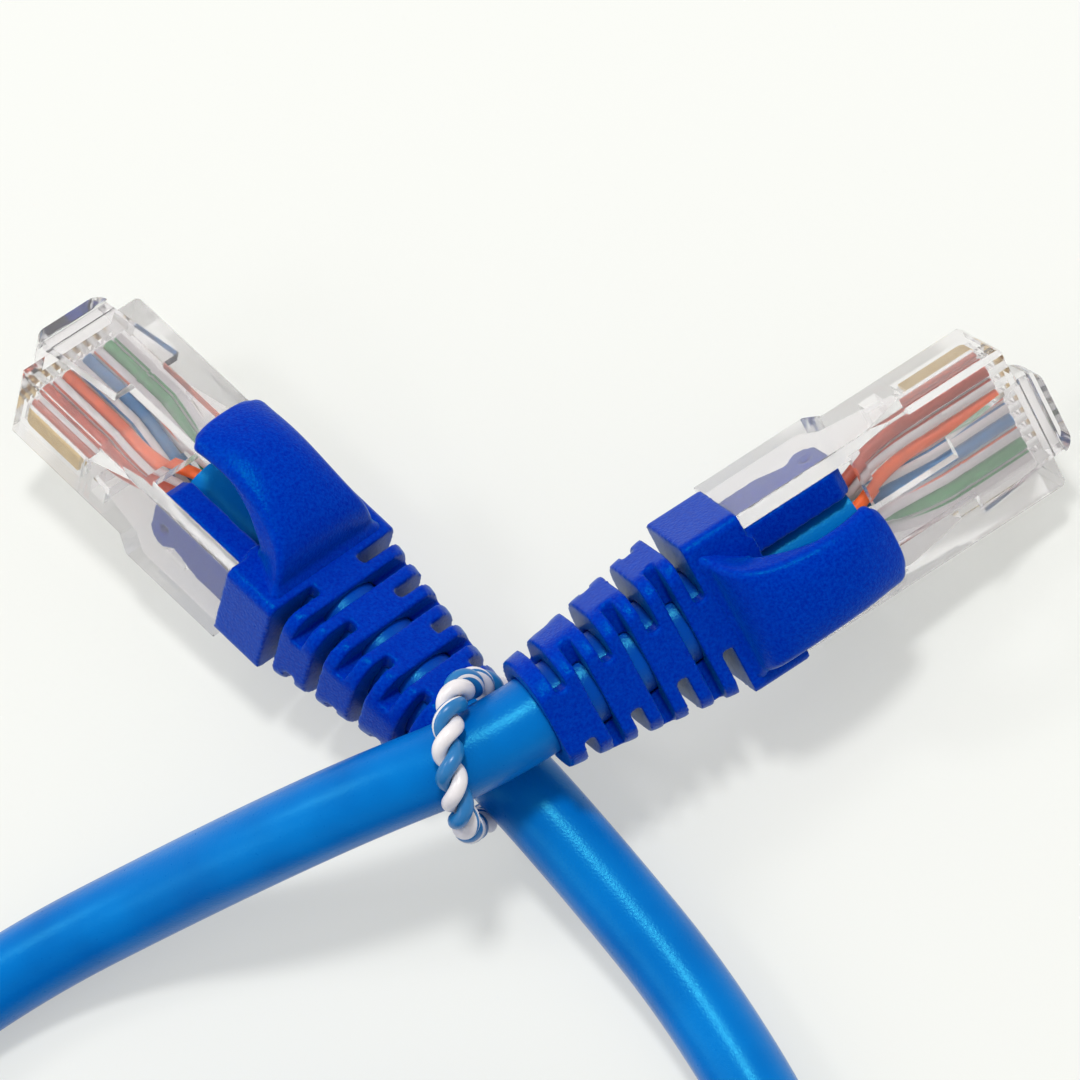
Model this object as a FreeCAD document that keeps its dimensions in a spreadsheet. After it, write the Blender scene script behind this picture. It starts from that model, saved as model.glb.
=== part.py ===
import FreeCAD, Part
import math
import os
import re
import Sketcher

# Ethernet patch cable: two clear plugs with moulded boots, their crossed leads and a storage coil.
# Plug frame: x = 0 is the nose face and the plug runs back along -x, y is left, z is up
# towards the latch, z = 0 is the front of the contact side.

V = FreeCAD.Vector

# Driving sizes in millimetres and degrees
SIZES = {
    # Clear housing
    "plug_width": 11.68,
    "plug_length": 21.9,
    "front_height": 6.6,
    "rear_drop": 1.45,
    "step_start": 11.9,
    "step_run": 1.0,
    "side_wall": 1.1,
    "floor_wall": 0.9,
    "roof_wall": 0.9,
    "window_front": 12.9,
    "nose_chamfer": 0.35,
    "housing_edge": 0.25,
    "lip_reach": 1.6,
    "lip_half": 3.4,
    "lip_bottom": 4.3,
    "lip_slope": 1.0,
    "lip_top": 7.3,
    "lip_round": 1.2,
    "bar_recess_front": 7.7,
    "bar_recess_length": 1.4,
    "bar_recess_depth": 1.5,
    "bar_recess_half": 4.1,
    "crimp_front": 14.2,
    "crimp_length": 2.2,
    "crimp_half": 3.4,
    "crimp_recess": 0.65,
    "crimp_gap": 0.02,
    # Wire row and contacts
    "wire_count": 8,
    "wire_pitch": 1.02,
    "wire_diameter": 0.9,
    "wire_gap": 0.03,
    "wire_row_height": 3.0,
    "wire_front": 0.8,
    "row_back": 7.2,
    "fan_front": 9.0,
    "fan_back": 14.0,
    "wire_bore_depth": 3.0,
    "pair_ring": 1.45,
    "pair_half_space": 0.5,
    "contact_thickness": 0.3,
    "contact_slot": 0.42,
    "contact_front": 0.55,
    "contact_back": 6.0,
    "contact_recess": 0.4,
    "contact_body": 2.0,
    "contact_nose": 0.5,
    "tooth_gap": 0.02,
    "slot_run_out": 0.4,
    # Latch
    "hinge_out": 0.35,
    "hinge_rise": 0.38,
    "knuckle_radius": 0.42,
    "hinge_gap": 0.1,
    "latch_half": 3.05,
    "shoulder_back": 6.7,
    "latch_top": 9.05,
    "latch_thickness": 0.95,
    "tail_half": 1.62,
    "latch_length": 15.0,
    "tail_round": 0.6,
    # Boot
    "boot_gap": 0.05,
    "collar_length": 4.55,
    "collar_half_width": 6.2,
    "collar_bottom": -0.1,
    "collar_top": 7.1,
    "collar_corner": 0.7,
    "fin_half_width": 5.95,
    "fin_half_height": 3.55,
    "fin_corner": 1.3,
    "ring_radius": 4.25,
    "relief_gap": 0.9,
    "relief_fin": 1.0,
    "ring_length": 1.35,
    "gap_count": 7,
    "top_bridge_half": 2.1,
    "side_bridge_half": 1.8,
    "bore_gap": 0.05,
    "leg_inner": 2.5,
    "leg_gap": 0.05,
    "leg_front": 13.8,
    "leg_hole": 0.8,
    # Hood over the latch
    "hood_hinge_back": 22.1,
    "hood_hinge_height": 10.05,
    "hood_thickness": 1.3,
    "hood_gap": 0.1,
    "hood_root_half": 4.1,
    "hood_front_half": 3.9,
    "hood_crown": 0.8,
    "hood_front": 14.0,
    "hood_tip_round": 1.4,
    "ramp_back": 25.7,
    "ramp_front": 21.55,
    # Cable
    "cable_diameter": 5.9,
    "cable_height": 3.5,
    "jacket_front": 14.1,
    "jacket_wall": 0.5,
    # Tie of two wires
    "tie_wire": 1.0,
    "tie_gap": 0.06,
    # How the two plugs lie: where the cable leaves each boot, and each plug's turn
    "a_forward": -5.38,
    "a_side": -11.6,
    "a_yaw": 134.6,
    "a_nose_up": 3.0,
    "a_roll": 29.4,
    "b_forward": 1.64,
    "b_side": -13.38,
    "b_yaw": 34.5,
    "b_nose_up": -9.7,
    "b_roll": 45.9,
    "hood_sag_a": 0.0,
    "hood_sag_b": 5.0,
    # Leads and storage coil
    "lead_start": 4.6,
    "coil_middle": 34.0,
    "coil_side": -18.77,
    "coil_back": -78.37,
    "coil_space": 0.45,
    "coil_layer_turns": 1.5,
}

doc = FreeCAD.newDocument("EthernetPatchCable")
sheet = doc.addObject("Spreadsheet::Sheet", "Sizes")
for row, (alias, number) in enumerate(SIZES.items(), start=1):
    sheet.set(f"A{row}", alias)
    sheet.set(f"B{row}", str(number))
    sheet.setAlias(f"B{row}", alias)
doc.recompute()


# Expressions on the sheet


def bound(text):
    """Turn plain size names in a formula into references to the sheet."""
    return re.sub(r"[a-z_]\w*", lambda found: "Sizes." + found[0] if found[0] in SIZES else found[0], text)


def size(text):
    """Work out a formula of size names as a plain number."""
    return float(sheet.evalExpression(bound(text)))


INNER_HALF = "(plug_width / 2 - side_wall)"
ROW_HALF = "(wire_count * wire_pitch / 2 + wire_gap)"
ROW_CLEAR = "(wire_diameter / 2 + wire_gap)"
RAMP_END = "(step_start + step_run)"
CUT = 1.0
FAR = 30.0
TINY = 1e-4
SAMPLE = 1.5
HINGE_HEIGHT = "(front_height + hinge_rise)"
COLLAR_FRONT = "(plug_length + boot_gap)"
COLLAR_BACK = "(plug_length + boot_gap + collar_length)"
RELIEF_PITCH = "(relief_gap + relief_fin)"
BOOT_END = "(plug_length + boot_gap + collar_length + gap_count * relief_gap" \
           " + (gap_count - 1) * relief_fin + ring_length)"
BORE = "(cable_diameter / 2 + bore_gap)"
HOOD_KNUCKLE = "(hood_thickness / 2)"


# Sketches and features


def plane(body, role):
    """The origin plane or axis of a body with the given role."""
    return next(item for item in body.Origin.OriginFeatures if item.Role == role)


def new_sketch(body, role, name, offset=None):
    """A sketch on one of the body's own planes, moved along its normal by a formula."""
    sketch = body.newObject("Sketcher::SketchObject", name)
    sketch.AttachmentSupport = [(plane(body, role), "")]
    sketch.MapMode = "FlatFace"
    if offset:
        sketch.setExpression("AttachmentOffset.Base.z", bound(offset))
    return sketch


def pin_point(sketch, line, end, across, up):
    """Tie a line's end to the sketch origin by two bound distances."""
    for kind, text in (("DistanceX", across), ("DistanceY", up)):
        index = sketch.addConstraint(Sketcher.Constraint(kind, -1, 1, line, end, size(text)))
        sketch.setExpression(f"Constraints[{index}]", bound(text))


def add_loop(sketch, points):
    """Add a closed outline of straight lines through points given as formulas."""
    first = sketch.GeometryCount
    places = [V(size(across), size(up), 0) for across, up in points]
    count = len(points)
    for index in range(count):
        sketch.addGeometry(Part.LineSegment(places[index], places[(index + 1) % count]), False)
    for index, (across, up) in enumerate(points):
        line = first + index
        following = first + (index + 1) % count
        sketch.addConstraint(Sketcher.Constraint("Coincident", line, 2, following, 1))
        pin_point(sketch, line, 1, across, up)


def outline(body, role, name, *loops, offset=None):
    """A sketch of one or more straight-sided outlines."""
    sketch = new_sketch(body, role, name, offset)
    for points in loops:
        add_loop(sketch, points)
    return sketch


def rectangle(left, right, low, high):
    """Corner formulas of a rectangle."""
    return [(left, low), (right, low), (right, high), (left, high)]


def circle(body, role, name, across, up, radius, offset=None):
    """A sketch of one circle."""
    sketch = new_sketch(body, role, name, offset)
    sketch.addGeometry(Part.Circle(V(size(across), size(up), 0), V(0, 0, 1), size(radius)), False)
    pin_point(sketch, 0, 3, across, up)
    index = sketch.addConstraint(Sketcher.Constraint("Radius", 0, size(radius)))
    sketch.setExpression(f"Constraints[{index}]", bound(radius))
    return sketch


def rounded_section(body, role, name, half_width, half_height, corner, middle, offset):
    """A sketch of a rectangle with round corners, centred at a height."""
    sketch = new_sketch(body, role, name, offset)
    width, height, radius, up = (size(text) for text in (half_width, half_height, corner, middle))
    sides = ((1, 1), (-1, 1), (-1, -1), (1, -1))
    ends = []
    for turn, (across, rise) in enumerate(sides):
        centre = V(across * (width - radius), up + rise * (height - radius), 0)
        start = math.pi / 2 * turn
        arc = Part.ArcOfCircle(Part.Circle(centre, V(0, 0, 1), radius), start, start + math.pi / 2)
        ends.append((arc.StartPoint, arc.EndPoint))
        sketch.addGeometry(arc, False)
        mark = sketch.addConstraint(Sketcher.Constraint("Radius", turn, radius))
        sketch.setExpression(f"Constraints[{mark}]", bound(corner))
    for turn in range(4):
        sketch.addGeometry(Part.LineSegment(ends[turn][1], ends[(turn + 1) % 4][0]), False)
    for turn, (across, rise) in enumerate(sides):
        sketch.addConstraint(Sketcher.Constraint("Coincident", turn, 2, 4 + turn, 1))
        sketch.addConstraint(Sketcher.Constraint("Coincident", 4 + turn, 2, (turn + 1) % 4, 1))
        sign_across = "" if across > 0 else "-"
        sign_rise = "+" if rise > 0 else "-"
        far_across = f"{sign_across}{half_width}"
        near_across = f"{sign_across}({half_width} - {corner})"
        far_up = f"{middle} {sign_rise} {half_height}"
        near_up = f"{middle} {sign_rise} ({half_height} - {corner})"
        start_place, end_place = (far_across, near_up), (near_across, far_up)
        if across * rise < 0:
            start_place, end_place = end_place, start_place
        pin_point(sketch, turn, 1, *start_place)
        pin_point(sketch, turn, 2, *end_place)
    return sketch


def feature(body, kind, name, sketch, length=None, both_sides=True, reverse=False):
    """Pad or pocket a sketch, by default evenly to both sides of its plane."""
    made = body.newObject("PartDesign::" + kind, name)
    made.Profile = sketch
    if length is None:
        made.Type = "ThroughAll"
    else:
        made.setExpression("Length", bound(length))
    if both_sides:
        made.SideType = "Symmetric"
    made.Reversed = reverse
    doc.recompute()
    return made


def dress(body, kind, name, base, chosen, amount):
    """Fillet or chamfer the edges of a feature that a test picks."""
    edges = [f"Edge{index}" for index, edge in enumerate(base.Shape.Edges, start=1) if chosen(edge)]
    made = body.newObject("PartDesign::" + kind, name)
    made.Base = (base, edges)
    made.setExpression("Radius" if kind == "Fillet" else "Size", bound(amount))
    doc.recompute()
    return made


def row_pattern(body, name, original, axis, spacing, copies, reverse=False):
    """Repeat a feature along one of the body's axes."""
    made = body.newObject("PartDesign::LinearPattern", name)
    made.Originals = [original]
    made.Direction = (plane(body, axis), [""])
    made.setExpression("Length", bound(f"({spacing}) * (({copies}) - 1)"))
    made.setExpression("Occurrences", bound(copies))
    made.Reversed = reverse
    body.Tip = made
    doc.recompute()
    return made


def along(edge, direction):
    """Whether an edge is a straight line in the given direction."""
    if edge.Curve.TypeId != "Part::GeomLine":
        return False
    return abs(edge.tangentAt(edge.FirstParameter).dot(direction)) > 0.999


def new_body(label):
    """A body whose label names its file."""
    body = doc.addObject("PartDesign::Body", "Body_" + label)
    body.Label = label
    return body


def new_shape(label, shape):
    """A sub-part made from a shape that is worked out from the sheet."""
    part = doc.addObject("Part::Feature", "Shape_" + label)
    part.Shape = shape
    part.Label = label
    return part


# Tubes along routes


def rounded_route(points):
    """Straight runs through the points, joined by tangent arcs, as a wire and its arc radii."""
    edges, radii = [], []
    here = points[0]
    for before, corner, after in zip(points, points[1:], points[2:]):
        arriving, leaving = corner - before, after - corner
        turn = arriving.getAngle(leaving)
        cut = 0.45 * min(arriving.Length, leaving.Length)
        arriving.normalize()
        leaving.normalize()
        start, end = corner - arriving * cut, corner + leaving * cut
        radius = cut / math.tan(turn / 2)
        sideways = (leaving - arriving).normalize()
        middle = corner + sideways * (math.hypot(radius, cut) - radius)
        edges.append(Part.LineSegment(here, start).toShape())
        edges.append(Part.Arc(start, middle, end).toShape())
        radii.append(radius)
        here = end
    edges.append(Part.LineSegment(here, points[-1]).toShape())
    return Part.Wire(edges), radii


def sweep(route, radius, start, heading):
    """A round solid along a wire."""
    section = Part.Wire(Part.Circle(start, heading, radius).toShape())
    return route.makePipeShell([section], True, False)


def tube(points, diameter):
    """A round tube along the rounded route through the points."""
    route, radii = rounded_route(points)
    return sweep(route, diameter / 2, points[0], points[1] - points[0]), route, radii


def biarc(start, heading, end, arriving):
    """Two arcs that leave the start and reach the end in the given directions."""
    across = end - start
    both = heading + arriving
    bend = 2 * (1 - heading.dot(arriving))
    reach = (math.sqrt(across.dot(both) ** 2 + bend * across.dot(across)) - across.dot(both)) / bend
    joint = (start + heading * reach + end - arriving * reach) / 2
    arcs = []
    for near, far, corner in ((start, joint, start + heading * reach), (joint, end, end - arriving * reach)):
        chord_middle = (near + far) / 2
        half_chord = (far - near).Length / 2
        away = corner - chord_middle
        bulge = half_chord * math.tan(math.atan2(away.Length, half_chord) / 2)
        arcs.append(Part.Arc(near, chord_middle + away.normalize() * bulge, far).toShape())
    return arcs


# Pieces of one plug, in the plug frame


def housing(tag):
    """Clear body: stepped block with a wire row, a cable cavity, an open window and contact slots."""
    body = new_body(f"plug_housing_{tag}")
    side = outline(body, "XZ_Plane", f"HousingSide_{tag}", [
        ("0", "0"),
        ("-step_start", "0"),
        (f"-{RAMP_END}", "-rear_drop"),
        ("-plug_length", "-rear_drop"),
        ("-plug_length", "front_height"),
        ("0", "front_height"),
    ])
    block = feature(body, "Pad", f"HousingBlock_{tag}", side, "plug_width")
    nose = dress(body, "Chamfer", f"NoseChamfer_{tag}", block,
                 lambda edge: along(edge, V(0, 0, 1)) and edge.CenterOfMass.x > -1e-6, "nose_chamfer")
    half = size("plug_width / 2")
    rounded = dress(body, "Fillet", f"HousingEdges_{tag}", nose,
                    lambda edge: along(edge, V(1, 0, 0)) and abs(abs(edge.CenterOfMass.y) - half) < 1e-6,
                    "housing_edge")
    body.Tip = rounded
    lip = outline(body, "XZ_Plane", f"LatchLip_{tag}", [
        ("-nose_chamfer", "lip_bottom"),
        ("0", "lip_bottom"),
        ("lip_reach", "lip_bottom + lip_slope"),
        ("lip_reach", "lip_top"),
        ("hinge_out + knuckle_radius + hinge_gap", "lip_top"),
        ("hinge_out", "front_height + hinge_gap"),
        ("0", "front_height + hinge_gap"),
        ("-nose_chamfer", "front_height"),
    ])
    bump = feature(body, "Pad", f"Lip_{tag}", lip, "2 * lip_half")
    reach = size("lip_reach")
    dress(body, "Fillet", f"LipRound_{tag}", bump,
          lambda edge: along(edge, V(0, 0, 1)) and abs(edge.CenterOfMass.x - reach) < 1e-6, "lip_round")
    socket = circle(body, "XZ_Plane", f"KnuckleSocket_{tag}", "hinge_out", HINGE_HEIGHT,
                    "knuckle_radius + hinge_gap")
    feature(body, "Pocket", f"Socket_{tag}", socket, "2 * latch_half + plug_width")
    cavity = outline(body, "XZ_Plane", f"CavitySide_{tag}", [
        (f"-(plug_length + {CUT})", "floor_wall - rear_drop"),
        (f"-({RAMP_END} + floor_wall)", "floor_wall - rear_drop"),
        ("-(step_start + floor_wall)", "floor_wall"),
        ("-row_back", f"wire_row_height - {ROW_CLEAR}"),
        ("-row_back", f"wire_row_height + {ROW_CLEAR}"),
        ("-(window_front - floor_wall)", "front_height - roof_wall"),
        (f"-(plug_length + {CUT})", "front_height - roof_wall"),
    ])
    feature(body, "Pocket", f"Cavity_{tag}", cavity, f"2 * {INNER_HALF}")
    row = outline(body, "XZ_Plane", f"WireRow_{tag}", rectangle(
        "-(row_back + wire_gap)", "-(wire_front - wire_gap)",
        f"wire_row_height - {ROW_CLEAR}", f"wire_row_height + {ROW_CLEAR}"))
    feature(body, "Pocket", f"Row_{tag}", row, f"2 * {ROW_HALF}")
    window = outline(body, "XZ_Plane", f"WindowSide_{tag}", rectangle(
        f"-(plug_length + {CUT})", "-window_front", "front_height - 2 * roof_wall", f"front_height + {CUT}"))
    feature(body, "Pocket", f"Window_{tag}", window, f"2 * {INNER_HALF}")
    recess = outline(body, "XZ_Plane", f"BarRecess_{tag}", rectangle(
        "-(bar_recess_front + bar_recess_length)", "-bar_recess_front", f"-{CUT}", "bar_recess_depth"))
    feature(body, "Pocket", f"Recess_{tag}", recess, "2 * bar_recess_half")
    bar = outline(body, "XZ_Plane", f"CrimpBar_{tag}", [
        ("-(crimp_front - crimp_recess)", "floor_wall / 2 - rear_drop"),
        ("-crimp_front", "cable_height - cable_diameter / 2 - crimp_gap"),
        ("-(crimp_front + crimp_length)", "cable_height - cable_diameter / 2 - crimp_gap"),
        ("-(crimp_front + crimp_length + floor_wall)", "floor_wall / 2 - rear_drop"),
    ])
    feature(body, "Pad", f"Bar_{tag}", bar, "2 * crimp_half")
    hollow = outline(body, "XZ_Plane", f"CrimpRecess_{tag}", rectangle(
        "-(crimp_front + crimp_length)", "-crimp_front",
        f"-(rear_drop + {CUT})", "crimp_recess - rear_drop"))
    feature(body, "Pocket", f"Hollow_{tag}", hollow, "2 * (crimp_half - crimp_recess)")
    slot = outline(body, "XZ_Plane", f"ContactSlot_{tag}", rectangle(
        "-(contact_back + slot_run_out)", f"{CUT}", f"-{CUT}", f"wire_row_height - {ROW_CLEAR} + wire_gap"),
        offset="wire_pitch * (wire_count - 1) / 2")
    cut = feature(body, "Pocket", f"Slot_{tag}", slot, "contact_slot")
    row_pattern(body, f"Slots_{tag}", cut, "Y_Axis", "wire_pitch", "wire_count")
    return body


def latch(tag):
    """Sprung latch: a wide arm from the nose knuckle to the catch shoulders, then a narrow tail."""
    body = new_body(f"latch_{tag}")
    arm = outline(body, "XZ_Plane", f"LatchSide_{tag}", [
        ("hinge_out", f"{HINGE_HEIGHT} + knuckle_radius"),
        ("-shoulder_back", "latch_top"),
        ("-latch_length", "latch_top"),
        ("-latch_length", "latch_top - latch_thickness"),
        ("-shoulder_back", "latch_top - latch_thickness"),
        ("hinge_out - knuckle_radius * 0.8", f"{HINGE_HEIGHT} - knuckle_radius * 0.4"),
    ])
    plate = feature(body, "Pad", f"LatchArm_{tag}", arm, "2 * latch_half")
    round_end = circle(body, "XZ_Plane", f"LatchKnuckle_{tag}", "hinge_out", HINGE_HEIGHT, "knuckle_radius")
    feature(body, "Pad", f"Knuckle_{tag}", round_end, "2 * latch_half")
    sides = outline(
        body, "XY_Plane", f"TailSides_{tag}",
        rectangle(f"-(latch_length + {CUT})", "-shoulder_back", "tail_half", f"latch_half + {CUT}"),
        rectangle(f"-(latch_length + {CUT})", "-shoulder_back", f"-(latch_half + {CUT})", "-tail_half"))
    tail = feature(body, "Pocket", f"Tail_{tag}", sides, f"{FAR}")
    back = size("-latch_length")
    dress(body, "Fillet", f"TailRound_{tag}", tail,
          lambda edge: along(edge, V(0, 0, 1)) and abs(edge.CenterOfMass.x - back) < 1e-6, "tail_round")
    return body


def contacts(tag):
    """Eight stamped blades, each with two teeth under its wire and a round nose."""
    back, front, low, top, tooth = (size(text) for text in (
        "-contact_back", "-contact_front", "contact_recess", "contact_recess + contact_body",
        "wire_row_height - wire_diameter / 2 - tooth_gap"))
    nose = size("contact_nose")
    step = (front - nose - back) / 6
    bend = Part.Arc(V(front, 0, low + nose), V(front - nose * (1 - math.sqrt(0.5)), 0,
                    low + nose * (1 - math.sqrt(0.5))), V(front - nose, 0, low))
    teeth = [
        V(front - nose, 0, low), V(back, 0, low), V(back, 0, top), V(back + step, 0, top),
        V(back + 1.5 * step, 0, tooth), V(back + 2 * step, 0, top), V(back + 4 * step, 0, top),
        V(back + 4.5 * step, 0, tooth), V(back + 5 * step, 0, top), V(front, 0, top),
        V(front, 0, low + nose),
    ]
    edges = [bend.toShape()] + [Part.LineSegment(*ends).toShape() for ends in zip(teeth, teeth[1:])]
    thickness, pitch, count = size("contact_thickness"), size("wire_pitch"), int(size("wire_count"))
    blade = Part.Face(Part.Wire(edges)).extrude(V(0, thickness, 0))
    blades = []
    for index in range(count):
        across = pitch * ((count - 1) / 2 - index) - thickness / 2
        blades.append(blade.translated(V(0, across, 0)))
    return new_shape(f"contacts_{tag}", Part.Compound(blades))


# Row order from left to right seen from the latch side: colour, the place of its pair round the middle
# of the jacket (90 is up, 180 left), the pair's tilt and the wire's side of the pair
WIRES = (
    ("brown", 188, 20, 1),
    ("white_brown", 188, 20, -1),
    ("orange", 90, 0, 1),
    ("white_blue", 270, 0, 1),
    ("blue", 270, 0, -1),
    ("white_orange", 90, 0, -1),
    ("green", 352, -20, 1),
    ("white_green", 352, -20, -1),
)


def conductors(tag):
    """Eight insulated wires that fan from four pairs in the jacket into one flat row."""
    made = []
    row_up, middle = size("wire_row_height"), size("cable_height")
    ring, half_space = size("pair_ring"), size("pair_half_space")
    depth = size("jacket_front + wire_bore_depth - wire_gap")
    for index, (colour, angle, tilt, side) in enumerate(WIRES):
        across = size("wire_pitch") * ((len(WIRES) - 1) / 2 - index)
        turn, lean = math.radians(angle), math.radians(tilt)
        left = -ring * math.cos(turn) + side * half_space * math.cos(lean)
        up = middle + ring * math.sin(turn) + side * half_space * math.sin(lean)
        points = [
            V(-size("wire_front"), across, row_up),
            V(-size("fan_front"), across, row_up),
            V(-size("fan_back"), left, up),
            V(-depth, left, up),
        ]
        solid, _, _ = tube(points, size("wire_diameter"))
        made.append(new_shape(f"conductor_{colour}_{tag}", solid))
    return made


def jacket_end(tag):
    """The sheath where the boot and plug grip it, bored at its front for the wires."""
    sheath = doc.addObject("Part::Cylinder", f"Sheath_{tag}")
    sheath.setExpression("Radius", bound("cable_diameter / 2"))
    sheath.setExpression("Height", bound(f"{BOOT_END} - jacket_front"))
    bore = doc.addObject("Part::Cylinder", f"WireBore_{tag}")
    bore.setExpression("Radius", bound("cable_diameter / 2 - jacket_wall"))
    bore.setExpression("Height", bound("wire_bore_depth"))
    for piece in (sheath, bore):
        piece.Placement = FreeCAD.Placement(
            V(-size("jacket_front"), 0, size("cable_height")), FreeCAD.Rotation(V(0, 1, 0), -90))
    cut = doc.addObject("Part::Cut", f"JacketEnd_{tag}")
    cut.Base = sheath
    cut.Tool = bore
    cut.Label = f"jacket_end_{tag}"
    return cut


def boot(tag):
    """Moulded boot: collar, two legs in the plug window, hood ramp and slotted strain relief."""
    body = new_body(f"boot_{tag}")
    middle_up = "((collar_top + collar_bottom) / 2)"
    collar = rounded_section(body, "YZ_Plane", f"CollarFace_{tag}", "collar_half_width",
                             "((collar_top - collar_bottom) / 2)", "collar_corner", middle_up,
                             f"-{COLLAR_FRONT}")
    feature(body, "Pad", f"Collar_{tag}", collar, "collar_length", both_sides=False, reverse=True)
    thick = rounded_section(body, "YZ_Plane", f"ReliefStart_{tag}", "fin_half_width", "fin_half_height",
                            "fin_corner", "cable_height", f"-{COLLAR_BACK}")
    thin = rounded_section(body, "YZ_Plane", f"ReliefEnd_{tag}", "ring_radius", "ring_radius",
                           "(ring_radius - bore_gap)", "cable_height", f"-{BOOT_END}")
    relief = body.newObject("PartDesign::AdditiveLoft", f"Relief_{tag}")
    relief.Profile = thick
    relief.Sections = [thin]
    doc.recompute()
    legs = outline(body, "XZ_Plane", f"LegSide_{tag}", [
        (f"-({COLLAR_FRONT} + {CUT})", "front_height"),
        ("-(leg_front + leg_hole)", "front_height"),
        ("-leg_front", "front_height - leg_hole"),
        ("-leg_front", "leg_inner"),
        ("-(leg_front + leg_hole)", "leg_inner - leg_hole"),
        ("-(leg_front + 2 * leg_hole)", "leg_inner - leg_hole"),
        ("-(leg_front + leg_inner)", "leg_inner"),
        ("-(leg_front + 2 * leg_inner)", "leg_inner - leg_hole"),
        (f"-({COLLAR_FRONT} + {CUT})", "leg_inner - leg_hole"),
    ])
    feature(body, "Pad", f"Legs_{tag}", legs, f"2 * ({INNER_HALF} - leg_gap)")
    between = outline(body, "XZ_Plane", f"LegSpace_{tag}", rectangle(
        f"-{COLLAR_FRONT}", f"{CUT}", f"-{FAR}", f"{FAR}"))
    feature(body, "Pocket", f"Space_{tag}", between, "2 * leg_inner")
    hole = circle(body, "XZ_Plane", f"LegHole_{tag}", "-(leg_front + 1.6 * leg_hole)", "cable_height",
                  "leg_hole / 2")
    feature(body, "Pocket", f"Hole_{tag}", hole, "plug_width")
    ramp = outline(body, "XZ_Plane", f"RampSide_{tag}", [
        ("-ramp_back", "collar_top - collar_corner"),
        ("-ramp_back", "collar_top"),
        ("-(hood_hinge_back + hood_thickness * 0.35)", "hood_hinge_height + hood_thickness * 0.35"),
        ("-ramp_front", "hood_hinge_height - hood_thickness * 0.35"),
        ("-ramp_front", "collar_top"),
        (f"-{COLLAR_FRONT}", "collar_top - collar_corner"),
    ])
    feature(body, "Pad", f"Ramp_{tag}", ramp, "2 * hood_root_half")
    socket = circle(body, "XZ_Plane", f"HoodSocket_{tag}", "-hood_hinge_back", "hood_hinge_height",
                    f"{HOOD_KNUCKLE} + hood_gap")
    feature(body, "Pocket", f"HoodSeat_{tag}", socket, "plug_width")
    bore = circle(body, "YZ_Plane", f"CableBore_{tag}", "0", "cable_height", BORE)
    feature(body, "Pocket", f"Bore_{tag}", bore, both_sides=False)
    near, far = f"-{COLLAR_BACK}", f"-({COLLAR_BACK} + relief_gap)"
    slots = outline(
        body, "XY_Plane", f"SideSlots_{tag}",
        rectangle(far, near, "top_bridge_half", f"{FAR}"),
        rectangle(far, near, f"-{FAR}", "-top_bridge_half"))
    first = feature(body, "Pocket", f"SideSlot_{tag}", slots, f"{FAR}")
    row_pattern(body, f"SideSlotRow_{tag}", first, "X_Axis", f"2 * {RELIEF_PITCH}", "(gap_count + 1) / 2",
                reverse=True)
    near, far = (f"-({COLLAR_BACK} + {RELIEF_PITCH})", f"-({COLLAR_BACK} + {RELIEF_PITCH} + relief_gap)")
    slots = outline(
        body, "XZ_Plane", f"TopSlots_{tag}",
        rectangle(far, near, "cable_height + side_bridge_half", f"{FAR}"),
        rectangle(far, near, f"-{FAR}", "cable_height - side_bridge_half"))
    second = feature(body, "Pocket", f"TopSlot_{tag}", slots, f"{FAR}")
    row_pattern(body, f"TopSlotRow_{tag}", second, "X_Axis", f"2 * {RELIEF_PITCH}", "(gap_count - 1) / 2",
                reverse=True)
    return body


def hood_section(back, up, lean, half, crown):
    """One cross-section of the hood: crowned above and below, at a place and slope of its side view."""
    thickness = size("hood_thickness")
    normal = V(math.sin(lean), 0, math.cos(lean))

    def place(across, height):
        return V(-back, across, up) + normal * height

    upper = thickness / 2
    lower = -thickness / 2
    edges = [
        Part.Arc(place(-half, upper - crown), place(0, upper), place(half, upper - crown)),
        Part.LineSegment(place(half, upper - crown), place(half, lower - crown)),
        Part.Arc(place(half, lower - crown), place(0, lower), place(-half, lower - crown)),
        Part.LineSegment(place(-half, lower - crown), place(-half, upper - crown)),
    ]
    return Part.Wire([edge.toShape() for edge in edges])


def hood(tag, sag):
    """Crowned tongue over the latch, from its knuckle to a rounded tip."""
    hinge = V(-size("hood_hinge_back"), 0, size("hood_hinge_height"))
    reach = size("hood_hinge_back - hood_front")
    root, front, crown = size("hood_root_half"), size("hood_front_half"), size("hood_crown")
    # Share of the reach, rise above the hinge, slope back, width share and crown share
    stations = (
        (0.0, 0.0, 50, 0.0, 0.05),
        (0.16, 1.0, 33, 0.3, 0.35),
        (0.42, 1.58, 6, 0.8, 0.8),
        (0.72, 1.42, -9, 1.0, 1.0),
        (1.0, 1.02, -15, 1.0, 0.9),
    )
    sections = []
    for share, rise, slope, narrow, bow in stations:
        sections.append(hood_section(-(hinge.x + share * reach), hinge.z + rise, -math.radians(slope),
                                     root + (front - root) * narrow, crown * bow))
    tongue = Part.makeLoft(sections, True, False)
    tip = size("hood_tip_round")
    plan = Part.makeBox(reach + 2 * tip, 2 * root + tip, 4 * reach, V(hinge.x - 2 * tip, -root - tip / 2, 0))
    corners = [edge for edge in plan.Edges if along(edge, V(0, 0, 1)) and edge.CenterOfMass.x > hinge.x]
    tongue = tongue.common(plan.makeFillet(tip, corners))
    knuckle = Part.makeCylinder(size(HOOD_KNUCKLE), 2 * root, hinge - V(0, root, 0), V(0, 1, 0))
    solid = tongue.fuse(knuckle).Solids[0]
    solid.rotate(hinge, V(0, 1, 0), sag)
    return new_shape(f"hood_{tag}", solid)


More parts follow.
